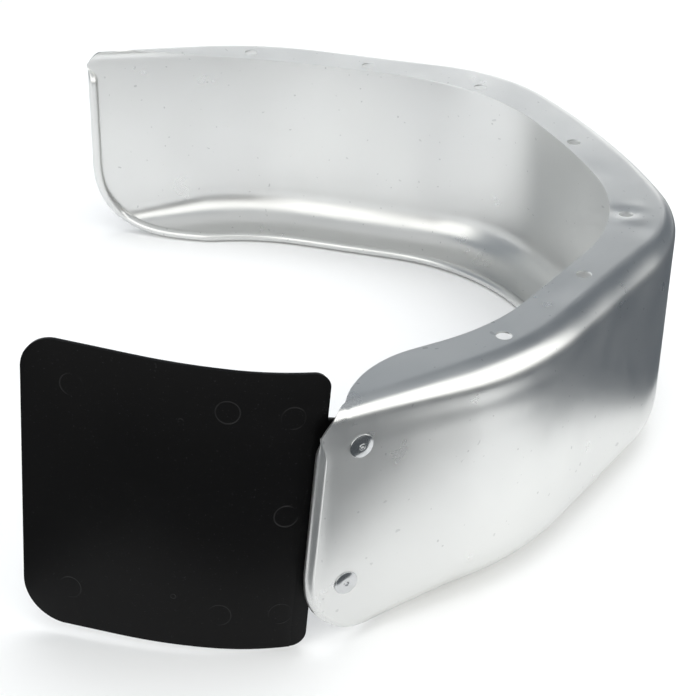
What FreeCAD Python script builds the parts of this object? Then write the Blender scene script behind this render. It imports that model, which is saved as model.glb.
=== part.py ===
import FreeCAD, Part
import math
import os

# A galvanised trailer mudguard with its mud flap, lying on its outboard side.
# Lengths are in millimetres and angles in degrees. The crown of the arch points to +X, the
# inboard flange is on top, and the flap hangs from the end of the arch at -Y.

Vec = FreeCAD.Vector
UP = Vec(0, 0, 1)

# Pressed sheet.
guard_width = 180.0
sheet_t = 1.2
flange_width = 43.0
flange_bend_r = 10.7
skirt_bend_r = 35.4
skirt_bend_r_at_end = 11.0
inner_corner_r = 172.0

# Outer face of the arch, from the middle of the crown to each end.
crown_r = 700.0
crown_half_angle = 8.3
shoulder_r = 144.0
shoulder_angle = 53.8
shoulder_run = 116.0
hip_r = 230.0
leg_angle = 80.6

# Ends of the arch, measured along its outer face from the crown.
front_reach = 540.0
rear_reach = 556.0
rear_slant = 5.0
front_corner_rise = 72.0
front_corner_run = 123.0
front_corner_fullness = 2.4
rear_corner_rise = 60.0
rear_corner_run = 283.0
rear_corner_fullness = 3.0
front_chamfer_run = 14.0
front_chamfer_drop = 15.0
rear_chamfer_run = 18.0
rear_chamfer_drop = 16.5
front_taper_start = 360.0
rear_taper_start = 454.0
rear_taper_r = 85.0
lip_at_ends = 4.0

# Rolled rim along the end edges and the skirt's free edge.
rim_r = 5.0
rim_proud = 1.0
rim_past_bend = 3.0
rim_sides = 12
rim_bore_sides = 6
rim_corner_steps = 14
joining_tolerance = 0.001

# Fixing holes in the flange: place along the arch and distance in from its outer face.
fixing_hole_d = 11.0
crown_hole_inset = 33.5
upper_hole_at = 153.0
upper_hole_inset = 37.5
middle_hole_at = 275.5
middle_hole_inset = 29.0
lower_hole_at = 390.0
lower_hole_inset = 25.5

# Mud flap, measured in its own plane from the line of the two rivets.
flap_t = 3.0
flap_head = 200.0
flap_foot = -0.4
flap_foot_slope = 2.2
flap_end_lean = 1.7
tongue_low = 32.0
tongue_high = 168.0
tongue_behind_rivets = 20.0
tongue_corner_rise = 18.0
tongue_corner_run = 17.0
step_out_r = 12.0
step_out_angle = 40.0
step_back_r = 16.0
step_back_angle = 28.0
step_lead = 3.5
rim_clearance = 0.2
flap_first_r = 160.0
flap_first_angle = 21.0
flap_second_r = 300.0
flap_second_angle = 11.5
flap_straight = 71.0
flap_shoulder_in = 9.0
flap_top_corner_r = 22.0
flap_foot_corner_r = 30.0
flap_shoulder_corner_r = 10.0

# Blind rivets with a wide flange.
rivet_from_edge = 29.2
rivet_low = 49.0
rivet_high = 150.5
rivet_head_r = 8.25
rivet_head_h = 1.8
rivet_lip_r = 2.9
rivet_dome = ((5.4, 1.55), (7.2, 1.08), (8.25, 0.55))
rivet_shank_r = 2.4
rivet_hole_clearance = 0.1
rivet_bore_r = 1.45
rivet_tail_r = 3.7
rivet_tail_seat_r = 3.1
rivet_tail_h = 3.6
mandrel_clearance = 0.05
mandrel_sunk = 1.6
mandrel_head_r = 2.2
mandrel_head_h = 1.4
mandrel_tip_r = 1.4


def along(heading):
    """Direction of travel from the crown to the front end at a heading in radians."""
    return Vec(-math.sin(heading), math.cos(heading), 0)


def outward(heading):
    """Direction square to the arch, away from the wheel."""
    return Vec(math.cos(heading), math.sin(heading), 0)


def arch_spans():
    """Start, heading, length and radius of each stretch of the front half of the arch."""
    crown_turn = math.radians(crown_half_angle)
    shoulder_turn = math.radians(shoulder_angle) - crown_turn
    hip_turn = math.radians(leg_angle - shoulder_angle)
    rows = (
        (crown_r * crown_turn, crown_r),
        (shoulder_r * shoulder_turn, shoulder_r),
        (shoulder_run, None),
        (hip_r * hip_turn, hip_r),
        (max(front_reach, rear_reach), None),
    )
    spans = []
    start = Vec(0, 0, 0)
    heading = 0.0
    travelled = 0.0
    for length, radius in rows:
        spans.append({"start": start, "heading": heading, "at": travelled,
                      "length": length, "radius": radius})
        if radius:
            centre = start - outward(heading) * radius
            heading += length / radius
            start = centre + outward(heading) * radius
        else:
            start = start + along(heading) * length
        travelled += length
    return spans


SPANS = arch_spans()
CROWN, SHOULDER, FLAT, HIP, LEG = SPANS
LEG_STOCK = max(front_reach, rear_reach) + 4 * rim_r


def to_rear(vector):
    """Mirror image on the rear half."""
    return Vec(vector.x, -vector.y, vector.z)


def arch_frame(at):
    """Point on the outer face, direction to the end and outward direction; at < 0 is the rear."""
    distance = abs(at)
    span = [row for row in SPANS if row["at"] <= distance][-1]
    run = distance - span["at"]
    heading = span["heading"]
    if span["radius"]:
        centre = span["start"] - outward(heading) * span["radius"]
        heading += run / span["radius"]
        point = centre + outward(heading) * span["radius"]
    else:
        point = span["start"] + along(heading) * run
    frame = (point, along(heading), outward(heading))
    if at < 0:
        frame = tuple(to_rear(vector) for vector in frame)
    return frame


def place(at, inset, z):
    """Point at a distance along the arch, an inset from its outer face and a height."""
    point, _, out = arch_frame(at)
    return point - out * inset + UP * z


def bend_r(at):
    """Radius of the skirt's bend, which tightens along each leg."""
    run = max(abs(at) - LEG["at"], 0.0)
    slope = (skirt_bend_r - skirt_bend_r_at_end) / (rear_reach - LEG["at"])
    return skirt_bend_r - slope * run


def line(first, second):
    return Part.LineSegment(first, second).toShape()


def arc(first, middle, last):
    return Part.Arc(first, middle, last).toShape()


def polygon_face(points):
    return Part.Face(Part.makePolygon(points + [points[0]]))


# Pressed sheet.

def sheet_section(at):
    """Section of the sheet square to the arch, from the flange round the wall to the skirt."""
    low_r = bend_r(at)
    skirt_edge = skirt_bend_r + rim_past_bend + 3 * rim_r
    flange_edge = flange_width + 3 * rim_r
    diagonal = math.sqrt(0.5)
    top = guard_width

    def bend(radius, centre_inset, centre_z, sign):
        """Start, middle and end of a quarter bend between the wall and a flat."""
        wall_side = place(at, centre_inset - radius, centre_z)
        middle = place(at, centre_inset - radius * diagonal, centre_z + sign * radius * diagonal)
        flat_side = place(at, centre_inset, centre_z + sign * radius)
        return wall_side, middle, flat_side

    outer_top = bend(flange_bend_r, flange_bend_r, top - flange_bend_r, 1)
    inner_top = bend(flange_bend_r - sheet_t, flange_bend_r, top - flange_bend_r, 1)
    outer_low = bend(low_r, low_r, low_r, -1)
    inner_low = bend(low_r - sheet_t, low_r, low_r, -1)
    flange_out = place(at, flange_edge, top)
    flange_in = place(at, flange_edge, top - sheet_t)
    skirt_out = place(at, skirt_edge, 0)
    skirt_in = place(at, skirt_edge, sheet_t)
    edges = [
        line(flange_out, outer_top[2]),
        arc(*reversed(outer_top)),
        line(outer_top[0], outer_low[0]),
        arc(*outer_low),
        line(outer_low[2], skirt_out),
        line(skirt_out, skirt_in),
        line(skirt_in, inner_low[2]),
        arc(*reversed(inner_low)),
        line(inner_low[0], inner_top[0]),
        arc(*inner_top),
        line(inner_top[2], flange_in),
        line(flange_in, flange_out),
    ]
    return Part.Wire(edges)


def half_sheet():
    """Front half of the sheet: the section revolved round each bend and drawn along each run."""
    pieces = []
    for span in SPANS:
        wire = sheet_section(span["at"])
        if span["radius"]:
            centre = span["start"] - outward(span["heading"]) * span["radius"]
            turn = math.degrees(span["length"] / span["radius"])
            pieces.append(Part.Face(wire).revolve(centre, UP, turn))
        elif span is LEG:
            pieces.append(Part.makeLoft([wire, sheet_section(LEG_STOCK)], True, True))
        else:
            pieces.append(Part.Face(wire).extrude(along(span["heading"]) * span["length"]))
    return pieces[0].fuse(pieces[1:])


def inner_run(inset, stop, z):
    """Edges of a line inside the front half, from the crown to a distance along the arch.

    It keeps one inset except at the shoulder, where it turns on the wider inner corner.
    """
    crown_centre = CROWN["start"] - outward(0) * crown_r
    crown_line_r = crown_r - inset
    heading = FLAT["heading"]
    foot = FLAT["start"] - outward(heading) * (inset + inner_corner_r)
    offset = foot - crown_centre
    reach = crown_line_r - inner_corner_r
    half_b = offset.dot(along(heading))
    slide = -half_b - math.sqrt(half_b ** 2 - offset.dot(offset) + reach ** 2)
    centre = foot + along(heading) * slide
    to_crown = (centre - crown_centre).normalize()
    crown_turn = math.atan2(to_crown.y, to_crown.x)
    middle_heading = (crown_turn + heading) / 2
    crown_start = crown_centre + outward(0) * crown_line_r
    crown_middle = crown_centre + outward(crown_turn / 2) * crown_line_r
    corner_start = crown_centre + outward(crown_turn) * crown_line_r
    corner_middle = centre + outward(middle_heading) * inner_corner_r
    corner_end = centre + outward(heading) * inner_corner_r
    points = [(crown_start, crown_middle, corner_start), (corner_start, corner_middle, corner_end)]
    edges = [arc(*[point + UP * z for point in row]) for row in points]
    flat_stop = min(stop, HIP["at"])
    edges.append(line(corner_end + UP * z, place(flat_stop, inset, z)))
    if stop > HIP["at"]:
        hip_stop = min(stop, LEG["at"])
        hip_middle = (HIP["at"] + hip_stop) / 2
        edges.append(arc(*[place(at, inset, z) for at in (HIP["at"], hip_middle, hip_stop)]))
    if stop > LEG["at"]:
        edges.append(line(place(LEG["at"], inset, z), place(stop, inset, z)))
    return edges


def mirrored(edges):
    return [edge.mirror(Vec(0, 0, 0), Vec(0, 1, 0)) for edge in edges]


def flange_opening():
    """Cutter for the space inside the flange, with both tapers towards the ends."""
    z = guard_width - flange_bend_r - sheet_t
    far_out = LEG_STOCK + 4 * rim_r
    # The front edge leaves the hip on a straight line and meets the lip near the end.
    front_start, front_way, _ = arch_frame(front_taper_start)
    front_start = place(front_taper_start, flange_width, z)
    lip_point = place(front_reach, lip_at_ends, z)
    _, leg_way, leg_out = arch_frame(front_reach)
    front_slide = (lip_point - front_start).dot(leg_out) / front_way.dot(leg_out)
    front_meet = front_start + front_way * front_slide
    front_end = place(far_out, lip_at_ends, z)
    # The rear edge is rounded off to the lip on one arc.
    depth = flange_width - lip_at_ends
    turn = math.acos(1 - depth / rear_taper_r)

    def rear_point(angle):
        at = rear_taper_start + rear_taper_r * math.sin(angle)
        inset = flange_width - rear_taper_r * (1 - math.cos(angle))
        return place(-at, inset, z)

    rear_meet = rear_point(turn)
    rear_end = place(-far_out, lip_at_ends, z)
    back = crown_r + front_reach
    edges = inner_run(flange_width, front_taper_start, z)
    edges += [line(front_start, front_meet), line(front_meet, front_end)]
    edges += mirrored(inner_run(flange_width, rear_taper_start, z))
    edges += [arc(rear_point(0), rear_point(turn / 2), rear_meet), line(rear_meet, rear_end)]
    edges += [line(front_end, Vec(-back, front_end.y, z)),
              line(Vec(-back, front_end.y, z), Vec(-back, rear_end.y, z)),
              line(Vec(-back, rear_end.y, z), rear_end)]
    wire = Part.Wire(Part.__sortEdges__(edges))
    return Part.Face(wire).extrude(UP * (flange_bend_r + 2 * sheet_t))


def leg_prism(side, corners):
    """Cutter through one leg, drawn by distance along the arch and height."""
    points = [place(side * at, -2 * rim_r, z) for at, z in corners]
    _, _, out = arch_frame(side * LEG["at"])
    return polygon_face(points).extrude(-out * (skirt_bend_r + flange_width))


def end_chamfer(side, reach, run, drop):
    """Cutter for the sheared inboard corner of one end."""
    slope = drop / run
    start = (reach - run, guard_width)
    beyond = 4 * rim_r
    line_in = (start[0] - beyond, start[1] + beyond * slope)
    line_out = (reach + 2 * beyond, guard_width - (run + 2 * beyond) * slope)
    top_z = line_in[1] + beyond
    return leg_prism(side, [line_in, line_out, (line_out[0], top_z), (line_in[0], top_z)])


def rear_edge_at(z):
    """Distance along the arch of the slanted rear end edge at a height."""
    return rear_reach - math.tan(math.radians(rear_slant)) * (z - rear_corner_rise)


# Rolled rim.

def rim_point(at, girth):
    """Centre of the rim at a girth down the sheet, counted from the start of the skirt's bend."""
    radius = bend_r(at)
    depth = rim_r - rim_proud
    quarter = radius * math.pi / 2
    if girth <= 0:
        return place(at, depth, radius - girth)
    if girth < quarter:
        angle = girth / radius
        reach = radius - depth
        return place(at, radius - reach * math.cos(angle), radius - reach * math.sin(angle))
    return place(at, radius + girth - quarter, depth)


def tangent_chain(points):
    """Straight runs joined at each middle point by a tangent arc as large as the runs allow."""
    edges = []
    start = points[0]
    for before, corner, after in zip(points, points[1:], points[2:]):
        reach = min((before - corner).Length, (after - corner).Length) / 2
        back = (before - corner).normalize()
        ahead = (after - corner).normalize()
        half_turn = (math.pi - back.getAngle(ahead)) / 2
        first = corner + back * reach
        last = corner + ahead * reach
        depth = reach * (1 / math.sin(half_turn) - 1 / math.tan(half_turn))
        middle = corner + (back + ahead).normalize() * depth
        if (first - start).Length > 0.01:
            edges.append(line(start, first))
        edges.append(arc(first, middle, last))
        start = last
    edges.append(line(start, points[-1]))
    return edges


def rim_corner(side, reach, rise, run, fullness, slant):
    """Rim from the end edge's top round the outboard corner to the even part of the skirt."""
    power = 2 / fullness
    start_at = reach - rim_r
    above = guard_width + rim_r
    top_at = start_at - math.tan(math.radians(slant)) * (above - rise)
    points = [place(side * top_at, rim_r - rim_proud, above)]
    for step in range(rim_corner_steps):
        angle = math.pi / 2 * step / rim_corner_steps
        at = start_at - run * (1 - math.cos(angle) ** power)
        radius = bend_r(at)
        first = radius - rise
        last = radius * math.pi / 2 + rim_past_bend
        points.append(rim_point(side * at, first + (last - first) * math.sin(angle) ** power))
    join_at = side * (start_at - run)
    join = place(join_at, skirt_bend_r + rim_past_bend, rim_r - rim_proud)
    _, way, _ = arch_frame(join_at)
    return tangent_chain(points + [join + way * 3 * rim_r, join])


def rim_path():
    """Centre line of the rim from the rear end's top round the skirt to the front end's top."""
    inset = skirt_bend_r + rim_past_bend
    depth = rim_r - rim_proud
    front_join = front_reach - rim_r - front_corner_run
    rear_join = rear_reach - rim_r - rear_corner_run
    front = rim_corner(1, front_reach, front_corner_rise, front_corner_run,
                       front_corner_fullness, 0)
    rear = rim_corner(-1, rear_reach, rear_corner_rise, rear_corner_run,
                      rear_corner_fullness, rear_slant)
    edges = front + inner_run(inset, front_join, depth)
    edges += rear + mirrored(inner_run(inset, rear_join, depth))
    return Part.Wire(Part.__sortEdges__(edges))


def rim_ring(centre, radius, sides):
    """Ring of the rim's section at the rear end, an even polygon with one flat facing outwards."""
    _, way, out = arch_frame(-LEG["at"])
    slant = math.radians(rear_slant)
    across = way * math.cos(slant) + UP * math.sin(slant)
    step = 2 * math.pi / sides
    points = []
    for index in range(sides):
        angle = step * (index + 0.5)
        points.append(centre + out * radius * math.cos(angle) + across * radius * math.sin(angle))
    return [line(first, last) for first, last in zip(points, points[1:] + points[:1])]


def drawn_along(path, radius, sides):
    """Bar drawn by a ring along the rim's straight runs and arcs."""
    here = path.OrderedVertexes[0].Point
    ring = rim_ring(here, radius, sides)
    faces = [Part.Face(Part.Wire(ring))]
    for edge in path.OrderedEdges:
        ends = [vertex.Point for vertex in edge.Vertexes]
        ends.sort(key=lambda point: (point - here).Length)
        if hasattr(edge.Curve, "Radius"):
            centre = edge.Curve.Center
            middle = edge.valueAt((edge.FirstParameter + edge.LastParameter) / 2)
            axis = (here - centre).cross(middle - centre)
            turn = math.degrees(2 * (here - centre).getAngle(middle - centre))
            faces += [side.revolve(centre, axis, turn) for side in ring]
            ring = [side.rotated(centre, axis, turn) for side in ring]
        else:
            run = ends[1] - here
            faces += [side.extrude(run) for side in ring]
            ring = [side.translated(run) for side in ring]
        here = ends[1]
    faces.append(Part.Face(Part.Wire(ring)))
    shell = Part.Shell(faces)
    shell.sewShape()
    return Part.Solid(shell)


def make_shell():
    """Sheet with its flange cut out, its rim rolled and its holes punched."""
    half = half_sheet()
    sheet = half.fuse(half.mirror(Vec(0, 0, 0), Vec(0, 1, 0))).removeSplitter()
    chamfers = [
        end_chamfer(1, front_reach, front_chamfer_run, front_chamfer_drop),
        end_chamfer(-1, rear_edge_at(guard_width - rear_chamfer_drop), rear_chamfer_run,
                    rear_chamfer_drop),
    ]
    sheet = sheet.cut([flange_opening()] + chamfers)
    path = rim_path()
    rim = drawn_along(path, rim_r, rim_sides)
    bore = drawn_along(path, rim_r - sheet_t, rim_bore_sides)
    # The sheet ends inside the rolled wall of the rim, and what lies beyond it falls away.
    parting = drawn_along(path, rim_r - sheet_t / 4, rim_sides)
    panel = max(sheet.cut(parting).Solids, key=lambda solid: solid.Volume)
    shell = panel.fuse([rim], joining_tolerance).cut([bore] + chamfers)
    return shell.cut([hole_cutter(at, inset) for at, inset in fixing_holes()])


def fixing_holes():
    rows = ((upper_hole_at, upper_hole_inset), (middle_hole_at, middle_hole_inset),
            (lower_hole_at, lower_hole_inset))
    return [(0.0, crown_hole_inset)] + [(side * at, inset) for at, inset in rows
                                        for side in (1, -1)]


def hole_cutter(at, inset):
    start = place(at, inset, guard_width - 2 * sheet_t)
    return Part.makeCylinder(fixing_hole_d / 2, 4 * sheet_t, start, UP)


# Mud flap and its rivets, in the plane of the rear leg.

def leg_axes():
    """Rivet line's foot, and the directions away from the end, inwards and across the flap."""
    slant = math.radians(rear_slant)
    _, way, out = arch_frame(-LEG["at"])
    length_way = way * math.cos(slant) + UP * math.sin(slant)
    across = UP * math.cos(slant) - way * math.sin(slant)
    foot_at = rear_edge_at(0) - rivet_from_edge / math.cos(slant)
    foot = place(-foot_at, sheet_t, 0)
    return foot, length_way, -out, across


FOOT, FLAP_WAY, INWARD, ACROSS = leg_axes()


def flap_point(run, depth, height=0.0):
    return FOOT + FLAP_WAY * run + INWARD * depth + ACROSS * height


def ribbon_edges(moves, start, start_turn):
    """Edges of a line of straight runs and arcs in the flap's own section."""
    run, depth = start
    turn = start_turn
    edges = []
    for radius, angle, length in moves:
        first = flap_point(run, depth)
        if length:
            run += length * math.cos(turn)
            depth += length * math.sin(turn)
            edges.append(line(first, flap_point(run, depth)))
            continue
        sign = math.copysign(1, angle)
        swing = math.radians(angle)
        centre = (run - sign * radius * math.sin(turn), depth + sign * radius * math.cos(turn))

        def on_arc(heading):
            return (centre[0] + sign * radius * math.sin(heading),
                    centre[1] - sign * radius * math.cos(heading))

        middle = on_arc(turn + swing / 2)
        turn += swing
        run, depth = on_arc(turn)
        edges.append(arc(first, flap_point(*middle), flap_point(run, depth)))
    return edges, (run, depth), turn


def flap_section():
    """Closed section of the flap: flat on the leg, stepped over the rim, then curling inwards."""
    rim_at = rivet_from_edge - rim_r - step_lead
    rim_depth = 2 * rim_r - rim_proud - sheet_t + rim_clearance
    out_turn = math.radians(step_out_angle)
    last_turn = math.radians(step_out_angle - step_back_angle)
    rise = step_out_r * (1 - math.cos(out_turn))
    rise += step_back_r * (math.cos(last_turn) - math.cos(out_turn))
    slope = (rim_depth - rise) / math.sin(out_turn)
    run = step_out_r * math.sin(out_turn) + slope * math.cos(out_turn)
    run += step_back_r * (math.sin(out_turn) - math.sin(last_turn))
    flat = tongue_behind_rivets + rim_at - run
    outer_moves = [
        (0, 0, flat),
        (step_out_r, step_out_angle, 0),
        (0, 0, slope),
        (step_back_r, -step_back_angle, 0),
        (0, 0, step_lead),
        (flap_first_r, flap_first_angle, 0),
        (flap_second_r, flap_second_angle, 0),
        (0, 0, flap_straight),
    ]
    inner_moves = [
        (radius - math.copysign(flap_t, angle) if radius else 0, angle, length)
        for radius, angle, length in outer_moves
    ]
    start = (-tongue_behind_rivets, 0.0)
    outer, outer_end, turn = ribbon_edges(outer_moves, start, 0.0)
    inner, inner_end, _ = ribbon_edges(inner_moves, (start[0], flap_t), 0.0)
    caps = [line(flap_point(*start), flap_point(start[0], flap_t)),
            line(flap_point(*outer_end), flap_point(*inner_end))]
    wire = Part.Wire(Part.__sortEdges__(outer + caps + inner))
    return Part.Face(wire), outer_end, turn


def rounded_corner_cutter(corner, way, side_way, through, radius):
    """Cutter that leaves a round corner where two edges meet, both directions into the piece."""
    first = corner + way * radius
    second = corner + side_way * radius
    centre = corner + (way + side_way) * radius
    middle = centre - (way + side_way).normalize() * radius
    spill = -(way + side_way) * radius * 0.5
    outer = [first - side_way * radius * 0.5, corner + spill, second - way * radius * 0.5]
    edges = [arc(first, middle, second), line(second, outer[2]), line(outer[2], outer[1]),
             line(outer[1], outer[0]), line(outer[0], first)]
    face = Part.Face(Part.Wire(Part.__sortEdges__(edges)))
    return face.extrude(through)


def make_flap():
    section, free_end, turn = flap_section()
    shoulder = rivet_from_edge - flap_shoulder_in
    slope = math.tan(math.radians(flap_foot_slope))
    lean = math.radians(flap_end_lean)
    margin = 10.0
    reach = free_end[0]

    def foot_at(run):
        return flap_foot - slope * (run - shoulder)

    lowest = foot_at(reach) - margin
    flap = section.extrude(ACROSS * (flap_head - lowest))
    flap.translate(ACROSS * lowest)
    deepest = free_end[1] + margin

    def trim(*points):
        """Cutter drawn by run and height, straight through the curl."""
        face = polygon_face([flap_point(run, -margin, height) for run, height in points])
        return face.extrude(INWARD * (deepest + margin))

    tongue_end = -2 * tongue_behind_rivets
    corner_low = tongue_low + tongue_corner_rise
    above = flap_head + margin
    # The tongue's low edge climbs towards the step, clear of the rim where it turns the corner.
    cutters = [
        trim((tongue_end, lowest - margin), (shoulder, lowest - margin),
             (shoulder, corner_low), (shoulder - tongue_corner_run, tongue_low),
             (tongue_end, tongue_low)),
        trim((tongue_end, tongue_high), (shoulder, tongue_high), (shoulder, above),
             (tongue_end, above)),
        trim((shoulder - margin, foot_at(shoulder - margin)),
             (reach + margin, foot_at(reach + margin)), (reach + margin, lowest - margin),
             (shoulder - margin, lowest - margin)),
    ]
    for height, side in ((flap_foot, 1), (flap_head, -1)):
        corner = flap_point(shoulder, -margin, height)
        cutters.append(rounded_corner_cutter(corner, FLAP_WAY, ACROSS * side,
                                             INWARD * 3 * margin, flap_shoulder_corner_r))
    flap = flap.cut(cutters)
    # The free end leans, and its corners are rounded square to the sheet there.
    end_way = FLAP_WAY * math.cos(turn) + INWARD * math.sin(turn)
    end_in = INWARD * math.cos(turn) - FLAP_WAY * math.sin(turn)
    edge_up = ACROSS * math.cos(lean) + end_way * math.sin(lean)
    foot_turn = math.atan(slope * math.cos(turn))
    foot_back = ACROSS * math.sin(foot_turn) - end_way * math.cos(foot_turn)
    top = flap_point(*free_end, flap_head) - end_in * flap_t
    drop = flap_head - foot_at(reach)
    bottom = top - edge_up * drop / math.cos(lean)
    low = top - edge_up * (flap_head - lowest + margin)
    high = top + edge_up * margin
    beyond = end_way * 3 * margin
    end_strip = polygon_face([low, high, high + beyond, low + beyond])
    end_cutters = [
        end_strip.extrude(end_in * 3 * flap_t),
        rounded_corner_cutter(bottom, foot_back, edge_up, end_in * 3 * flap_t,
                              flap_foot_corner_r),
        rounded_corner_cutter(top, -end_way, -edge_up, end_in * 3 * flap_t, flap_top_corner_r),
    ]
    return flap.cut(end_cutters)


def rivet_axis(height):
    """Point of a rivet on the leg's outer face."""
    return flap_point(0, -sheet_t, height)


def make_rivet(height):
    """Set blind rivet: domed flange outside, shank, and the bulb behind the flap."""
    base = rivet_axis(height)
    back = sheet_t + flap_t
    tail = back + rivet_tail_h
    # Radius and depth of each corner, with depth counted inwards from the leg's outer face.
    corners = [(rivet_bore_r, -rivet_head_h), (rivet_lip_r, -rivet_head_h)]
    corners += [(radius, -rise) for radius, rise in rivet_dome]
    corners += [
        (rivet_head_r, 0),
        (rivet_shank_r, 0),
        (rivet_shank_r, back),
        (rivet_tail_seat_r, back),
        (rivet_tail_r, back + rivet_tail_h / 3),
        (rivet_tail_r, back + rivet_tail_h * 2 / 3),
        (rivet_shank_r, tail),
        (rivet_bore_r, tail),
    ]
    points = [base + ACROSS * radius + INWARD * depth for radius, depth in corners]
    return polygon_face(points).revolve(base, INWARD, 360)


def make_mandrel(height):
    """Snapped mandrel left in the rivet, with its head against the bulb."""
    base = rivet_axis(height)
    tail = sheet_t + flap_t + rivet_tail_h
    edge_h = mandrel_head_h / 2
    stem = Part.makeCylinder(rivet_bore_r - mandrel_clearance, tail - mandrel_sunk,
                             base + INWARD * mandrel_sunk, INWARD)
    head = Part.makeCylinder(mandrel_head_r, edge_h, base + INWARD * tail, INWARD)
    tip = Part.makeCone(mandrel_head_r, mandrel_tip_r, mandrel_head_h - edge_h,
                        base + INWARD * (tail + edge_h), INWARD)
    return stem.fuse([head, tip])


def rivet_hole(height):
    radius = rivet_shank_r + rivet_hole_clearance
    start = rivet_axis(height) - INWARD * sheet_t
    return Part.makeCylinder(radius, 3 * sheet_t + flap_t, start, INWARD)


def main():
    heights = (rivet_low, rivet_high)
    holes = [rivet_hole(height) for height in heights]
    pieces = {
        "guard_shell": make_shell().cut(holes),
        "mud_flap": make_flap().cut(holes),
        "rivet_bodies": Part.makeCompound([make_rivet(height) for height in heights]),
        "rivet_mandrels": Part.makeCompound([make_mandrel(height) for height in heights]),
    }
    # The origin goes to the middle of the whole part's footprint, on the surface it lies on.
    box = FreeCAD.BoundBox()
    for shape in pieces.values():
        box.add(shape.optimalBoundingBox(False, False))
    to_origin = Vec(-box.Center.x, -box.Center.y, -box.ZMin)
    os.makedirs("parts", exist_ok=True)
    for name, shape in pieces.items():
        shape.translate(to_origin)
        shape.exportStep("parts/" + name + ".step")
        size = shape.BoundBox
        print(name, len(shape.Solids), shape.isValid(), round(shape.Volume),
              [round(value, 1) for value in (size.XMin, size.XMax, size.YMin, size.YMax,
                                             size.ZMin, size.ZMax)])
    for at, inset in fixing_holes():
        centre = place(at, inset, guard_width) + to_origin
        print("fixing hole", [round(value, 3) for value in centre])


main()
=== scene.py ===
"""Looks of a galvanised trailer mudguard with a riveted mud flap, laid out as an add-on."""

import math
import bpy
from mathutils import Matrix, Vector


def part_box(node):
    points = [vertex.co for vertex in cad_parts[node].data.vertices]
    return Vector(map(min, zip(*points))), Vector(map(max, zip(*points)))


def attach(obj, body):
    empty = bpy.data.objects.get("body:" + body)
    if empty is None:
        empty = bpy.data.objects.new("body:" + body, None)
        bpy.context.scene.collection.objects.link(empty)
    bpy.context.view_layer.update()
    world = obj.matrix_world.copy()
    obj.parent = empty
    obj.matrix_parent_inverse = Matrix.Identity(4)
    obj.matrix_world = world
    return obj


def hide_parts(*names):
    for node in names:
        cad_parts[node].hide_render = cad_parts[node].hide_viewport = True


bl_info = {
    "name": "Trailer mudguard",
    "version": (1, 0, 0),
    "blender": (4, 5, 0),
    "location": "View3D > Sidebar > Mudguard",
    "description": "Finishes a pressed galvanised mudguard, its mud flap and its rivets",
    "category": "Add Mesh",
}

import bmesh
import bpy
from bpy.props import FloatProperty, FloatVectorProperty, PointerProperty
from mathutils import Matrix, Vector, noise

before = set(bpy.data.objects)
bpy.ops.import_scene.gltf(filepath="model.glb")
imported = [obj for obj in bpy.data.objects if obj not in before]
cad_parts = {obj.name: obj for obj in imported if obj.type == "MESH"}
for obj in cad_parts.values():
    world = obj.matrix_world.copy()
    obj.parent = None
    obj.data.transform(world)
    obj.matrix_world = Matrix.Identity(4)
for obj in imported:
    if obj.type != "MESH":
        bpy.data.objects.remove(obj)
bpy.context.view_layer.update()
ROOT = "root"
MM = 0.001
UP = Vector((0, 0, 1))


# Settings

def length(name, description, millimetres):
    return FloatProperty(name=name, description=description, unit="LENGTH",
                         default=millimetres * MM)


class SheetSettings(bpy.types.PropertyGroup):
    """Sizes and finish of the galvanised sheet."""

    width: length("Width", "Width of the guard across the wheel", 180)
    thickness: length("Thickness", "Thickness of the sheet", 1.2)
    flange_width: length("Flange", "Width of the fixing flange", 43)
    flange_bend: length("Flange bend", "Outer radius of the flange's bend", 10.7)
    rear_flange_bend: length("Rear flange bend", "The same radius along the rear leg", 17.5)
    rear_tip_bend: length("Rear tip bend", "The same radius at the rear tip", 9)
    skirt_bend: length("Skirt bend", "Outer radius of the skirt's bend", 35.4)
    skirt_bend_at_end: length("Skirt bend at end", "The same radius at the rear end", 11)
    rim_r: length("Rim", "Radius of the rolled rim", 4.2)
    rim_proud: length("Rim height", "How far the rim stands out of the sheet's face", 0.5)
    rim_shoulder: length("Rim shoulder", "Width of the soft shoulder beside the rim", 9)
    rim_start: length("Rim start", "Length over which the rim rolls up from the flat", 16)
    hole_r: length("Holes", "Radius of the fixing holes", 5.5)
    zinc: FloatVectorProperty(
        name="Zinc", description="Colour of the clean zinc surface", subtype="COLOR",
        size=3, min=0, max=1, default=(0.74, 0.745, 0.735))
    zinc_shade: FloatVectorProperty(
        name="Zinc shade", description="Darker tone in the zinc's clouding", subtype="COLOR",
        size=3, min=0, max=1, default=(0.71, 0.715, 0.71))
    roughness: FloatProperty(
        name="Roughness", description="Roughness of the zinc between its marks",
        min=0, max=1, subtype="FACTOR", default=0.3)
    wave_depth: length("Waves", "Depth of the zinc's soft waves", 0.012)


class FlapSettings(bpy.types.PropertyGroup):
    """Sizes and finish of the moulded flap."""

    edge_round: length("Edge", "Radius of the moulded edges", 0.7)
    mark_r: length("Moulding marks", "Radius of the round marks left by the mould", 7.6)
    vent_r: length("Vent marks", "Radius of the small round marks", 1.6)
    mark_line: length("Mark line", "Half the width of a mark's line", 0.6)
    mark_depth: length("Mark depth", "Height of a mark's line", 0.3)
    plastic: FloatVectorProperty(
        name="Plastic", description="Colour of the moulded plastic", subtype="COLOR",
        size=3, min=0, max=1, default=(0.0028, 0.0028, 0.003))
    roughness: FloatProperty(
        name="Roughness", description="Roughness of the moulded face", min=0, max=1,
        subtype="FACTOR", default=0.42)


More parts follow.
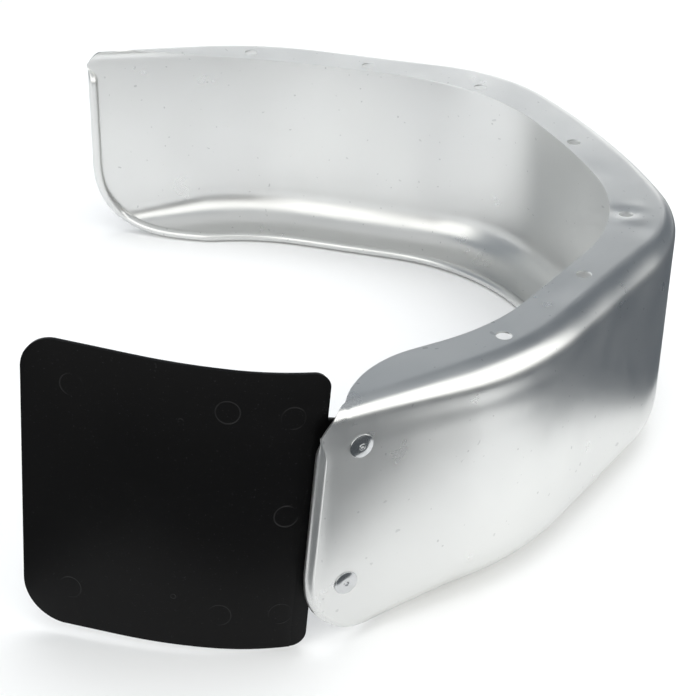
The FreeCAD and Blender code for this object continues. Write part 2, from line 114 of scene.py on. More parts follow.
class RivetSettings(bpy.types.PropertyGroup):
    """Sizes and finish of the rivets."""

    head_r: length("Head", "Radius of the rivet's wide flange", 8.25)
    head_h: length("Head height", "Height of the domed flange", 1.8)
    bore_r: length("Bore", "Radius of the hole left by the mandrel", 1.45)
    shank_r: length("Shank", "Radius of the rivet's shank", 2.4)
    bulb_r: length("Bulb", "Radius of the bulb behind the flap", 3.7)
    bulb_h: length("Bulb height", "Height of the bulb behind the flap", 3.6)
    steel: FloatVectorProperty(
        name="Steel", description="Colour of the plated rivet", subtype="COLOR",
        size=3, min=0, max=1, default=(0.6, 0.61, 0.62))
    roughness: FloatProperty(
        name="Roughness", description="Roughness of the plated dome", min=0, max=1,
        subtype="FACTOR", default=0.16)


class StudioSettings(bpy.types.PropertyGroup):
    """Camera, lights and floor."""

    lens: FloatProperty(
        name="Lens", description="Focal length on a 36 mm sensor", unit="CAMERA",
        default=91.79)
    camera_place: FloatVectorProperty(
        name="Camera place", description="Where the camera stands", subtype="TRANSLATION",
        unit="LENGTH", size=3, default=(-0.40282, -1.16468, 0.74439))
    camera_yaw: FloatProperty(
        name="Yaw", description="Heading of the view, from +Y towards +X",
        subtype="ANGLE", default=0.3659)
    camera_pitch: FloatProperty(
        name="Pitch", description="How far the view looks down", subtype="ANGLE",
        default=0.5229)
    camera_roll: FloatProperty(
        name="Roll", description="Turn of the camera about its view", subtype="ANGLE",
        default=0.0227)
    paper: FloatVectorProperty(
        name="Paper", description="Colour of the white floor and backdrop",
        subtype="COLOR", size=3, min=0, max=1, default=(0.93, 0.93, 0.93))
    white_card: FloatVectorProperty(
        name="White cards", description="Glow of the bright cards in front of the guard",
        subtype="COLOR", size=3, min=0, soft_max=1, default=(1.8, 1.8, 1.75))
    grey_card: FloatVectorProperty(
        name="Grey card", description="Tone that the metal mirrors from the floor in front",
        subtype="COLOR", size=3, min=0, max=1, default=(0.1, 0.11, 0.12))
    side_card: FloatVectorProperty(
        name="Side card", description="Tone of the card on the right",
        subtype="COLOR", size=3, min=0, max=1, default=(0.075, 0.095, 0.12))
    top_card: FloatVectorProperty(
        name="Top card", description="Tone of the card over the guard",
        subtype="COLOR", size=3, min=0, max=1, default=(0.74, 0.75, 0.75))
    dark_card: FloatVectorProperty(
        name="Dark card", description="Tone of the dark mat on the right",
        subtype="COLOR", size=3, min=0, max=1, default=(0.06, 0.075, 0.095))
    room: FloatVectorProperty(
        name="Room", description="Colour of the room that the metal mirrors beyond the paper",
        subtype="COLOR", size=3, min=0, max=1, default=(0.27, 0.3, 0.33))


SETTINGS = {
    "mudguard_sheet": SheetSettings,
    "mudguard_flap": FlapSettings,
    "mudguard_rivets": RivetSettings,
    "mudguard_studio": StudioSettings,
}


# Line of the arch, from the middle of the crown to each end

CROWN_R = 700 * MM
CROWN_HALF_ANGLE = math.radians(8.3)
SHOULDER_R = 144 * MM
SHOULDER_ANGLE = math.radians(53.8)
SHOULDER_RUN = 116 * MM
HIP_R = 230 * MM
LEG_ANGLE = math.radians(80.6)
INNER_CORNER_R = 172 * MM
ARCH_MIDDLE_Y = 1.1 * MM
RIM_PAST_BEND = 3 * MM
FRONT_LIP = 4 * MM
REAR_LIP = 6 * MM
FRONT_TAPER_START = 360 * MM
REAR_TAPER_START = 456 * MM
REAR_TAPER_R = 88 * MM
BEYOND_END = 40 * MM
REAR_BEND_FROM = 100 * MM
REAR_BEND_WHOLE = 260 * MM
REAR_BEND_CLOSES = 400 * MM
LEAN_FADE = 120 * MM
CORNER_FADE = 12 * MM
CHAMFER_SWELL = 1.4


class End:
    """One end of the arch: its reach, its rounded outboard corner and its sheared top corner."""

    def __init__(self, side, reach, rise, run, fullness, slant, chamfer_run, chamfer_drop):
        self.side = side
        self.reach = reach * MM
        self.rise = rise * MM
        self.run = run * MM
        self.fullness = fullness
        self.slant = math.tan(math.radians(slant))
        self.chamfer_run = chamfer_run * MM
        self.chamfer_drop = chamfer_drop * MM

    def edge_at(self, height):
        return self.reach - self.slant * max(height - self.rise, 0)


FRONT = End(side=1, reach=539.8, rise=72, run=123, fullness=2.4, slant=0,
            chamfer_run=14, chamfer_drop=15)
REAR = End(side=-1, reach=556, rise=60, run=283, fullness=3.0, slant=5,
           chamfer_run=18, chamfer_drop=16.5)


def along(heading):
    return Vector((-math.sin(heading), math.cos(heading), 0))


def outward(heading):
    return Vector((math.cos(heading), math.sin(heading), 0))


def arch_spans():
    """Start, heading, place along the arch, and radius of each stretch."""
    rows = (
        (CROWN_R * CROWN_HALF_ANGLE, CROWN_R),
        (SHOULDER_R * (SHOULDER_ANGLE - CROWN_HALF_ANGLE), SHOULDER_R),
        (SHOULDER_RUN, None),
        (HIP_R * (LEG_ANGLE - SHOULDER_ANGLE), HIP_R),
        (REAR.reach, None),
    )
    spans = []
    start, heading, travelled = Vector((0, 0, 0)), 0.0, 0.0
    for run, radius in rows:
        spans.append((start, heading, travelled, radius))
        if radius:
            centre = start - outward(heading) * radius
            heading += run / radius
            start = centre + outward(heading) * radius
        else:
            start = start + along(heading) * run
        travelled += run
    return spans


SPANS = arch_spans()
FLAT = SPANS[2]
HIP_START, LEG_START = SPANS[3][2], SPANS[4][2]


def to_side(vector, side):
    return Vector((vector.x, vector.y * side, vector.z))


def arch_frame(at):
    """Point on the outer face, direction to the end and outward direction; at < 0 is the rear."""
    distance = abs(at)
    start, heading, begins, radius = [row for row in SPANS if row[2] <= distance][-1]
    run = distance - begins
    if radius:
        centre = start - outward(heading) * radius
        heading += run / radius
        point = centre + outward(heading) * radius
    else:
        point = start + along(heading) * run
    side = -1 if at < 0 else 1
    return tuple(to_side(vector, side) for vector in (point, along(heading), outward(heading)))


def inset_point(at, inset):
    point, _, out = arch_frame(at)
    return point - out * inset


def inner_line(inset, stop, step=3 * MM):
    """Points of a line inside the front half, which turns the shoulder on a wider radius."""
    crown_centre = Vector((-CROWN_R, 0, 0))
    heading = SHOULDER_ANGLE
    foot = FLAT[0] - outward(heading) * (inset + INNER_CORNER_R)
    offset = foot - crown_centre
    reach = CROWN_R - inset - INNER_CORNER_R
    half_b = offset.dot(along(heading))
    slide = -half_b - math.sqrt(half_b ** 2 - offset.dot(offset) + reach ** 2)
    centre = foot + along(heading) * slide
    turn = math.atan2(centre.y, centre.x + CROWN_R)

    def swept(middle, radius, first, last):
        count = max(2, int((last - first) * radius / step))
        return [middle + outward(first + (last - first) * index / count) * radius
                for index in range(count)]

    points = swept(crown_centre, CROWN_R - inset, 0, turn)
    points += swept(centre, INNER_CORNER_R, turn, heading)
    points.append(centre + outward(heading) * INNER_CORNER_R)
    count = int((stop - HIP_START) / step)
    points += [inset_point(HIP_START + (stop - HIP_START) * index / count, inset)
               for index in range(1, count + 1)]
    return points


def flange_lines(sheet):
    """Inner edge of the flange on the front and the rear half, with their tapers to the lip."""
    far = FRONT.reach + BEYOND_END
    start, way, _ = arch_frame(FRONT_TAPER_START)
    start = inset_point(FRONT_TAPER_START, sheet.flange_width)
    _, _, leg_out = arch_frame(FRONT.reach)
    lip_point = inset_point(FRONT.reach, FRONT_LIP)
    slide = (lip_point - start).dot(leg_out) / way.dot(leg_out)
    front = inner_line(sheet.flange_width, FRONT_TAPER_START)
    front += [start + way * slide, inset_point(far, FRONT_LIP)]
    rear = inner_line(sheet.flange_width, REAR_TAPER_START)
    turn = math.acos(1 - (sheet.flange_width - REAR_LIP) / REAR_TAPER_R)
    steps = 16
    for step in range(1, steps + 1):
        angle = turn * step / steps
        rear.append(inset_point(REAR_TAPER_START + REAR_TAPER_R * math.sin(angle),
                                sheet.flange_width - REAR_TAPER_R * (1 - math.cos(angle))))
    rear.append(inset_point(REAR.reach + BEYOND_END, REAR_LIP))
    return {1: front, -1: rear}


def inset_to(line, at):
    """How far in from the outer face a line runs at a place along the arch."""
    point, _, out = arch_frame(abs(at))
    best = None
    for first, last in zip(line, line[1:]):
        run = last - first
        across = run.x * out.y - run.y * out.x
        if abs(across) < 1e-12:
            continue
        gap = first - point
        share = (gap.y * out.x - gap.x * out.y) / across
        inset = -(gap + run * share).dot(out)
        if -0.001 <= share <= 1.001 and inset > 0 and (best is None or inset < best):
            best = inset
    return best


# Pressed sheet

class Section:
    """The sheet's section. Girth counts down from the foot of the flange's bend."""

    def __init__(self, sheet):
        self.sheet = sheet

    def top_r(self, at):
        """Radius of the flange's bend, which widens along the rear leg and closes at its tip."""
        sheet = self.sheet
        share = smooth((-at - REAR_BEND_FROM) / (REAR_BEND_WHOLE - REAR_BEND_FROM))
        radius = sheet.flange_bend + (sheet.rear_flange_bend - sheet.flange_bend) * share
        closing = smooth((-at - REAR_BEND_CLOSES) / (REAR.reach - REAR_BEND_CLOSES))
        return radius + (sheet.rear_tip_bend - radius) * closing

    def low_r(self, at):
        run = max(abs(at) - LEG_START, 0)
        tightening = self.sheet.skirt_bend - self.sheet.skirt_bend_at_end
        return self.sheet.skirt_bend - tightening * run / (REAR.reach - LEG_START)

    def wall_top(self, at):
        return self.sheet.width - self.top_r(at)

    def wall(self, at):
        return self.wall_top(at) - self.low_r(at)

    def point(self, at, girth, depth=0.0):
        """Point of the sheet and its outward normal."""
        top_r, low_r, wall = self.top_r(at), self.low_r(at), self.wall(at)
        quarter = top_r * math.pi / 2
        point, _, out = arch_frame(at)
        if girth < -quarter:
            inset, height, normal = top_r - girth - quarter, self.sheet.width - depth, UP
        elif girth < 0:
            angle = -girth / top_r
            reach = top_r - depth
            inset = top_r - reach * math.cos(angle)
            height = self.wall_top(at) + reach * math.sin(angle)
            normal = out * math.cos(angle) + UP * math.sin(angle)
        elif girth < wall:
            inset, height, normal = depth, self.wall_top(at) - girth, out
        elif girth < wall + low_r * math.pi / 2:
            angle = (girth - wall) / low_r
            reach = low_r - depth
            inset = low_r - reach * math.cos(angle)
            height = low_r - reach * math.sin(angle)
            normal = out * math.cos(angle) - UP * math.sin(angle)
        else:
            inset = low_r + girth - wall - low_r * math.pi / 2
            height, normal = depth, -UP
        return point - out * inset + UP * height, normal

    def girth_of_inset(self, at, inset):
        """Girth of a place on the flange's side that lies an inset in from the outer face."""
        bend = self.top_r(at)
        if inset < bend:
            return -bend * math.acos(1 - inset / bend)
        return -bend * math.pi / 2 - (inset - bend)

    def girth_of_height(self, at, height):
        rise = height - self.wall_top(at)
        if rise > 0:
            return -self.top_r(at) * math.asin(min(rise / self.top_r(at), 1))
        return -rise

    def height(self, at, girth):
        """Height of a place on the bend or the wall."""
        if girth < 0:
            bend = self.top_r(at)
            return self.wall_top(at) + bend * math.sin(min(-girth / bend, math.pi / 2))
        return self.wall_top(at) - girth


def smooth(value):
    value = min(max(value, 0), 1)
    return value * value * (3 - 2 * value)


class Sheet:
    """Places of the sheet's edges along the arch."""

    def __init__(self, settings):
        self.settings = settings
        self.section = Section(settings)
        self.flange = flange_lines(settings)
        self.skirt = inner_line(settings.skirt_bend + RIM_PAST_BEND, FRONT.reach + BEYOND_END)
        self.origin = Vector((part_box("guard_shell")[1][0], ARCH_MIDDLE_Y,
                              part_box("guard_shell")[1][2] - settings.width))

    def top(self, end, at):
        """Girth of the sheet's inboard edge."""
        place = end.side * at
        girth = self.section.girth_of_inset(place, inset_to(self.flange[end.side], at))
        top_reach = end.edge_at(self.settings.width - end.chamfer_drop)
        past = at - (top_reach - end.chamfer_run)
        if past > 0:
            drop = end.chamfer_drop * (past / end.chamfer_run) ** CHAMFER_SWELL
            height = self.settings.width - drop
            girth = max(girth, self.section.girth_of_height(place, height))
        return girth

    def foot(self, end, back, at):
        """Girth of the rim's centre line, at a distance back from its place at the end."""
        wall, low_r = self.section.wall(end.side * at), self.section.low_r(at)
        if back >= end.run:
            return wall + low_r * (math.pi / 2 - 1) + inset_to(self.skirt, at)
        first = low_r - end.rise
        last = low_r * math.pi / 2 + RIM_PAST_BEND
        share = 1 - (1 - back / end.run) ** end.fullness
        return wall + first + (last - first) * share ** (1 / end.fullness)

    def rim_share(self, end, height):
        """How far the rim has rolled up at a height on the end: 0 is flat, 1 is whole."""
        start = self.settings.width - end.chamfer_drop
        return smooth((start - height) / self.settings.rim_start)

    def beside_rim(self, end, back, above):
        """Height of the soft shoulder that leads from the sheet's face up to the rim."""
        reach = self.settings.rim_shoulder
        near = min(above, back if back < end.run else reach)
        return self.settings.rim_proud * max(0, 1 - near / reach) ** 2

    def column(self, end, back):
        """Girths at the two ends of a column of points, and where the column runs."""
        rim_r = self.settings.rim_r

        def at_height(height):
            fade = max(0, 1 - back / LEAN_FADE)
            spare = rim_r * (1 - self.rim_share(end, height)) * max(0, 1 - back / CORNER_FADE)
            lean = end.slant * max(height - end.rise, 0) * fade
            return end.reach - rim_r - back - lean + spare

        base = end.reach - rim_r - back
        foot = self.foot(end, back, base)
        top = self.top(end, base)
        for _ in range(4):
            top = self.top(end, at_height(self.section.height(end.side * base, top)))
        return top, foot, at_height


COLUMN_STEP = 5.5 * MM


def column_backs(stop):
    """Distances back from an end, close together where its corner turns."""
    backs = [0, 0.2, 0.6, 1.2, 2.0, 3.0, 4.3, 6, 8, 10.3, 13, 16, 19.5, 23.5, 28, 33]
    backs = [back * MM for back in backs]
    count = math.ceil((stop - backs[-1]) / COLUMN_STEP)
    first = backs[-1]
    backs += [first + (stop - first) * index / count for index in range(1, count + 1)]
    return backs


def dent(at, girth):
    """Depth of the shallow dents and creases in the flange, positive down."""
    depth = 0.0
    for place, inset_girth, spread_at, spread_girth, amount in DENTS:
        along_gap = (at - place) / spread_at
        across_gap = (girth - inset_girth) / spread_girth
        depth += amount * math.exp(-along_gap ** 2 - across_gap ** 2)
    return depth


# Place along the arch, girth, spread each way and depth of each dent, in metres.
DENTS = [tuple(value * MM for value in row) for row in (
    (-430, 9, 70, 5, 0.2),
    (-430, 20, 80, 7, -0.12),
    (-147, -46, 13, 9, 0.9),
    (-164, -40, 9, 8, -0.5),
    (-135, -38, 8, 9, -0.4),
    (-178, -30, 14, 10, 0.35),
    (-60, -44, 20, 10, 0.25),
    (-300, -40, 22, 12, 0.35),
)]


SKIN_ROWS = 112
RIPPLE_SCALE = 14
RIPPLE_DEPTH = 0.08 * MM


def sheet_skin(sheet):
    """Outer and inner face of the pressed sheet as one closed grid."""
    section = sheet.section
    rows = SKIN_ROWS
    columns = []
    for end in (REAR, FRONT):
        backs = column_backs(end.reach - sheet.settings.rim_r)
        part = [(end, back) for back in backs]
        columns += part if end is REAR else part[-2::-1]
    mesh = bmesh.new()
    grids = {}
    for depth in (0.0, sheet.settings.thickness):
        grid = []
        for end, back in columns:
            top, foot, at_height = sheet.column(end, back)
            column = []
            for row in range(rows + 1):
                girth = top + (foot - top) * row / rows
                place = end.side * (end.reach - sheet.settings.rim_r - back)
                at = end.side * max(at_height(section.height(place, girth)), 0)
                point, normal = section.point(at, girth, depth)
                ripple = (noise.noise(Vector((at, girth, 0)) * RIPPLE_SCALE) + 1) * RIPPLE_DEPTH
                raised = sheet.beside_rim(end, back, foot - girth)
                point -= normal * (dent(at, girth) + ripple - raised)
                column.append(mesh.verts.new(point + sheet.origin))
            grid.append(column)
        grids[depth] = grid
    outer, inner = grids[0.0], grids[sheet.settings.thickness]
    for first, last in zip(range(len(columns) - 1), range(1, len(columns))):
        for row in range(rows):
            mesh.faces.new((outer[first][row], outer[first][row + 1],
                            outer[last][row + 1], outer[last][row]))
            mesh.faces.new((inner[last][row], inner[last][row + 1],
                            inner[first][row + 1], inner[first][row]))
        for row in (0, rows):
            edge = (outer[first][row], outer[last][row], inner[last][row], inner[first][row])
            mesh.faces.new(edge if row == 0 else edge[::-1])
    for index in (0, len(columns) - 1):
        for row in range(rows):
            edge = (outer[index][row], inner[index][row], inner[index][row + 1],
                    outer[index][row + 1])
            mesh.faces.new(edge if index == 0 else edge[::-1])
    bmesh.ops.recalc_face_normals(mesh, faces=mesh.faces)
    return mesh


def fixing_holes():
    """Place along the arch and inset of each fixing hole."""
    rows = ((153, 37.5), (275.5, 29), (390, 25.5))
    holes = [(0, 33.5)] + [(side * at, inset) for at, inset in rows for side in (1, -1)]
    return [(at * MM, inset * MM) for at, inset in holes]


DRILL_LENGTH = 16 * MM


def punch(piece, sheet):
    """Cut the fixing holes."""
    drills = bmesh.new()
    for at, inset in fixing_holes():
        place = inset_point(at, inset) + sheet.origin + UP * sheet.settings.width
        bmesh.ops.create_cone(
            drills, cap_ends=True, segments=40, radius1=sheet.settings.hole_r,
            radius2=sheet.settings.hole_r, depth=DRILL_LENGTH, matrix=Matrix.Translation(place))
    cutter = new_piece("drills", drills)
    boolean = piece.modifiers.new("holes", "BOOLEAN")
    boolean.object = cutter
    boolean.solver = "EXACT"
    apply_modifiers(piece)
    bpy.data.objects.remove(cutter)


RIM_UPRIGHT_STEP = 2 * MM
RIM_FOOT_STEP = 4 * MM
RIM_CORNER_STEPS = 60


def rim_centres(sheet):
    """Centre line of the rim from the rear end's top to the front end's top, with its normal."""
    settings, section = sheet.settings, sheet.section
    stations = []
    for end in (REAR, FRONT):
        part = []
        start = settings.width - end.chamfer_drop
        height = start
        while height > end.rise:
            share = sheet.rim_share(end, height)
            at = end.side * (end.edge_at(height) - settings.rim_r * share)
            part.append((at, section.wall_top(at) - height, share))
            height -= RIM_UPRIGHT_STEP
        power = 2 / end.fullness
        for step in range(RIM_CORNER_STEPS):
            angle = math.pi / 2 * step / RIM_CORNER_STEPS
            back = end.run * (1 - math.cos(angle) ** power)
            at = end.reach - settings.rim_r - back
            part.append((end.side * at, sheet.foot(end, back, at), 1.0))
        join = end.reach - settings.rim_r - end.run
        count = int(join / RIM_FOOT_STEP)
        for index in range(count + (end is FRONT)):
            at = join * (1 - index / count)
            part.append((end.side * at, sheet.foot(end, end.run, at), 1.0))
        stations += part if end is REAR else part[::-1]
    centres = []
    for at, girth, share in stations:
        radius = max(settings.rim_r * share, 0.5 * settings.thickness)
        proud = settings.rim_proud * share
        point, normal = section.point(at, girth, radius - proud)
        centres.append((point + sheet.origin, normal, radius))
    return centres


def tube(name, centres, sides):
    """Tube round a line of centres, each with its outward direction and radius."""
    mesh = bmesh.new()
    rings = []
    for index, (centre, normal, radius) in enumerate(centres):
        before = centres[max(index - 1, 0)][0]
        after = centres[min(index + 1, len(centres) - 1)][0]
        ahead = (after - before).normalized()
        out = (normal - ahead * normal.dot(ahead)).normalized()
        across = ahead.cross(out)
        ring = []
        for side in range(sides):
            angle = 2 * math.pi * side / sides
            ring.append(mesh.verts.new(
                centre + (out * math.cos(angle) + across * math.sin(angle)) * radius))
        rings.append(ring)
    for first, last in zip(rings, rings[1:]):
        for side in range(sides):
            following = (side + 1) % sides
            mesh.faces.new((first[side], first[following], last[following], last[side]))
    mesh.faces.new(rings[0][::-1])
    mesh.faces.new(rings[-1])
    bmesh.ops.recalc_face_normals(mesh, faces=mesh.faces)
    return new_piece(name, mesh)


# Mesh helpers

def new_piece(name, mesh):
    data = bpy.data.meshes.new(name)
    mesh.to_mesh(data)
    mesh.free()
    data.shade_smooth()
    piece = bpy.data.objects.new(name, data)
    bpy.context.collection.objects.link(piece)
    return piece


def apply_modifiers(piece):
    graph = bpy.context.evaluated_depsgraph_get()
    made = bpy.data.meshes.new_from_object(piece.evaluated_get(graph))
    piece.modifiers.clear()
    piece.data = made


def sharpen(piece, angle):
    """Keep edges sharper than an angle crisp."""
    mesh = bmesh.new()
    mesh.from_mesh(piece.data)
    for edge in mesh.edges:
        edge.smooth = len(edge.link_faces) != 2 or edge.calc_face_angle() < angle
    mesh.to_mesh(piece.data)
    mesh.free()


def stand_for(piece, node, material):
    """Show a piece in place of a CAD node, with that node's finish."""
    piece.data.materials.clear()
    piece.data.materials.append(material)
    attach(piece, ROOT)
    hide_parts(node)


# Node helpers

class Finish:
    """A material built up node by node around one surface shader."""

    def __init__(self, name):
        self.material = bpy.data.materials.new(name)
        self.material.use_nodes = True
        self.tree = self.material.node_tree
        self.surface = self.tree.nodes["Principled BSDF"]
        self.place = self.node("ShaderNodeTexCoord").outputs["Object"]

    def node(self, kind, **values):
        made = self.tree.nodes.new(kind)
        for key, value in values.items():
            setattr(made, key, value)
        return made

    def link(self, source, socket):
        self.tree.links.new(source, socket)

    def put(self, made, name, value):
        """Set a socket to a number or colour, or link an output to it."""
        socket = made.inputs[name]
        if isinstance(value, bpy.types.NodeSocket):
            self.link(value, socket)
        elif hasattr(value, "__len__") and len(value) == 3 and socket.type == "RGBA":
            socket.default_value = (*value, 1)
        else:
            socket.default_value = value

    def noise(self, scale, detail=2.0, roughness=0.5, distortion=0.0, where=None):
        made = self.node("ShaderNodeTexNoise")
        self.put(made, "Vector", where or self.place)
        self.put(made, "Scale", scale)
        self.put(made, "Detail", detail)
        self.put(made, "Roughness", roughness)
        self.put(made, "Distortion", distortion)
        return made.outputs["Fac"]

    def stretched(self, scale, turn=(0, 0, 0)):
        made = self.node("ShaderNodeMapping")
        self.put(made, "Vector", self.place)
        self.put(made, "Rotation", turn)
        self.put(made, "Scale", scale)
        return made.outputs["Vector"]

    def band(self, value, low, high, to_low=0.0, to_high=1.0):
        """Map a range of a value to another range, clamped."""
        made = self.node("ShaderNodeMapRange")
        self.put(made, "Value", value)
        self.put(made, "From Min", low)
        self.put(made, "From Max", high)
        self.put(made, "To Min", to_low)
        self.put(made, "To Max", to_high)
        return made.outputs["Result"]

    def maths(self, operation, first, second):
        made = self.node("ShaderNodeMath", operation=operation)
        self.put(made, 0, first)
        self.put(made, 1, second)
        return made.outputs[0]

    def blend(self, amount, first, second):
        made = self.node("ShaderNodeMix", data_type="RGBA")
        self.put(made, 0, amount)
        self.put(made, 6, first)
        self.put(made, 7, second)
        return made.outputs[2]

    def bump(self, height, distance, normal=None):
        made = self.node("ShaderNodeBump")
        self.put(made, "Height", height)
        self.put(made, "Distance", distance)
        self.put(made, "Strength", 1.0)
        if normal:
            self.put(made, "Normal", normal)
        return made.outputs["Normal"]


FLECK_TONE = (0.25, 0.26, 0.27)
SCUFF_STRETCH = (1, 0.35, 1)
SCUFF_TURN = (0.6, 0, 0.8)


def galvanised_finish(settings):
    """Zinc-coated sheet: even tone, soft waves, small dark flecks and short scuffs."""
    finish = Finish("galvanised_sheet")
    surface = finish.surface
    clouds = finish.noise(scale=7, detail=2, roughness=0.5)
    colour = finish.blend(finish.band(clouds, low=0.35, high=0.65),
                          tuple(settings.zinc_shade), tuple(settings.zinc))
    # Dark flecks are sparse grains, and scuffs are sparse grains drawn out across the sheet.
    grains = finish.noise(scale=290, detail=0, roughness=0.4)
    flecks = finish.band(grains, low=0.83, high=0.87, to_high=0.35)
    drawn_out = finish.stretched(scale=SCUFF_STRETCH, turn=SCUFF_TURN)
    streaks = finish.noise(scale=240, detail=0, roughness=0.4, where=drawn_out)
    scuffs = finish.band(streaks, low=0.83, high=0.86, to_high=0.25)
    marks = finish.maths("MAXIMUM", flecks, scuffs)
    finish.put(surface, "Base Color", finish.blend(marks, colour, FLECK_TONE))
    surface.inputs["Metallic"].default_value = 0.94
    patches = finish.noise(scale=24, detail=3, roughness=0.6)
    rough = finish.band(patches, low=0.3, high=0.7, to_low=settings.roughness - 0.03,
                        to_high=settings.roughness + 0.05)
    dulled = finish.maths("MULTIPLY", marks, 0.2)
    finish.put(surface, "Roughness", finish.maths("ADD", rough, dulled))
    waves = finish.noise(scale=70, detail=1, roughness=0.5)
    finish.put(surface, "Normal", finish.bump(waves, settings.wave_depth))
    return finish.material


DUST_TONE = (0.05, 0.05, 0.052)
MARK_TONE = (0.016, 0.016, 0.0165)
PLASTIC_GRAIN_DEPTH = 0.01 * MM


def plastic_finish(settings, marks, vents):
    """Moulded black plastic with flow lines, a little dust and the mould's round marks."""
    finish = Finish("black_plastic")
    specks = finish.noise(scale=700, detail=2, roughness=0.6)
    dust = finish.band(specks, low=0.66, high=0.74, to_high=0.25)
    colour = finish.blend(dust, tuple(settings.plastic), DUST_TONE)
    flow = finish.noise(scale=6, detail=5, roughness=0.62, distortion=0.8)
    rough = finish.band(flow, low=0.3, high=0.7, to_low=settings.roughness - 0.07,
                        to_high=settings.roughness + 0.09)
    finish.put(finish.surface, "Roughness", rough)
    finish.surface.inputs["Specular IOR Level"].default_value = 0.1
    grain = finish.noise(scale=2200, detail=2, roughness=0.5)
    grained = finish.bump(grain, PLASTIC_GRAIN_DEPTH)
    lines = 0.0
    rounds = [(mark, settings.mark_r) for mark in marks]
    rounds += [(vent, settings.vent_r) for vent in vents]
    for centre, radius in rounds:
        apart = finish.node("ShaderNodeVectorMath", operation="DISTANCE")
        finish.put(apart, 0, finish.place)
        finish.put(apart, 1, centre)
        from_line = finish.maths("SUBTRACT", apart.outputs["Value"], radius)
        from_line = finish.maths("ABSOLUTE", from_line, 0.0)
        line = finish.band(from_line, low=0.0, high=settings.mark_line, to_low=1.0, to_high=0.0)
        lines = finish.maths("MAXIMUM", line, lines)
    worn = finish.band(finish.noise(scale=45, detail=2, roughness=0.5), low=0.42, high=0.6)
    lines = finish.maths("MULTIPLY", lines, worn)
    finish.put(finish.surface, "Base Color", finish.blend(lines, colour, MARK_TONE))
    relief = finish.bump(lines, settings.mark_depth, normal=grained)
    finish.put(finish.surface, "Normal", relief)
    return finish.material


def rivet_finish(settings):
    """Bright plating, a little smeared."""
    finish = Finish("rivet_steel")
    smear = finish.noise(scale=160, detail=1, roughness=0.5)
    shade = tuple(value * 0.92 for value in settings.steel)
    colour = finish.blend(finish.band(smear, low=0.35, high=0.65), tuple(settings.steel), shade)
    finish.put(finish.surface, "Base Color", colour)
    finish.surface.inputs["Metallic"].default_value = 1.0
    rough = finish.band(smear, low=0.3, high=0.7, to_low=settings.roughness,
                        to_high=settings.roughness + 0.03)
    finish.put(finish.surface, "Roughness", rough)
    return finish.material


MANDREL_SHADE = (0.2, 0.2, 0.2)
MANDREL_TONE = (0.34, 0.34, 0.35)


def mandrel_finish():
    """Dull broken steel inside the rivets."""
    finish = Finish("mandrel_steel")
    grain = finish.noise(scale=900, detail=2, roughness=0.6)
    colour = finish.blend(finish.band(grain, low=0.3, high=0.7), MANDREL_SHADE, MANDREL_TONE)
    finish.put(finish.surface, "Base Color", colour)
    finish.surface.inputs["Metallic"].default_value = 1.0
    finish.surface.inputs["Roughness"].default_value = 0.5
    return finish.material


def dress(node, material):
    """Give a CAD node's object its finish."""
    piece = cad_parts[node]
    piece.data.materials.clear()
    piece.data.materials.append(material)


# Rear leg: the flap lies on its inner face, and the rivets go through both

RIVET_FROM_EDGE = 29.2 * MM
RIVET_HEIGHTS = (49 * MM, 150.5 * MM)
RIVET_GRIP = 4.2 * MM


class Leg:
    """Frame of the rear leg, from the foot of the rivet line on the leg's inner face."""

    def __init__(self, sheet):
        slant = math.atan(REAR.slant)
        _, way, out = arch_frame(-REAR.reach)
        self.way = way * math.cos(slant) + UP * math.sin(slant)
        self.across = UP * math.cos(slant) - way * math.sin(slant)
        self.inward = -out
        foot_at = REAR.reach + REAR.slant * REAR.rise - RIVET_FROM_EDGE / math.cos(slant)
        self.foot = inset_point(-foot_at, sheet.settings.thickness) + sheet.origin

    def point(self, run, depth, height):
        return self.foot + self.way * run + self.inward * depth + self.across * height


def lathe(mesh, leg, height, profile, sides=64):
    """Turn a profile of radius and height over the leg's outer face round a rivet's axis."""
    rings = []
    for radius, rise in profile:
        ring = []
        for side in range(sides):
            angle = 2 * math.pi * side / sides
            ring.append(mesh.verts.new(leg.point(
                radius * math.cos(angle), -rise, height + radius * math.sin(angle))))
        rings.append(ring)
    for first, last in zip(rings, rings[1:]):
        for side in range(sides):
            following = (side + 1) % sides
            mesh.faces.new((first[side], first[following], last[following], last[side]))
    mesh.faces.new(rings[0])
    mesh.faces.new(rings[-1][::-1])


DOME_STEPS = 14


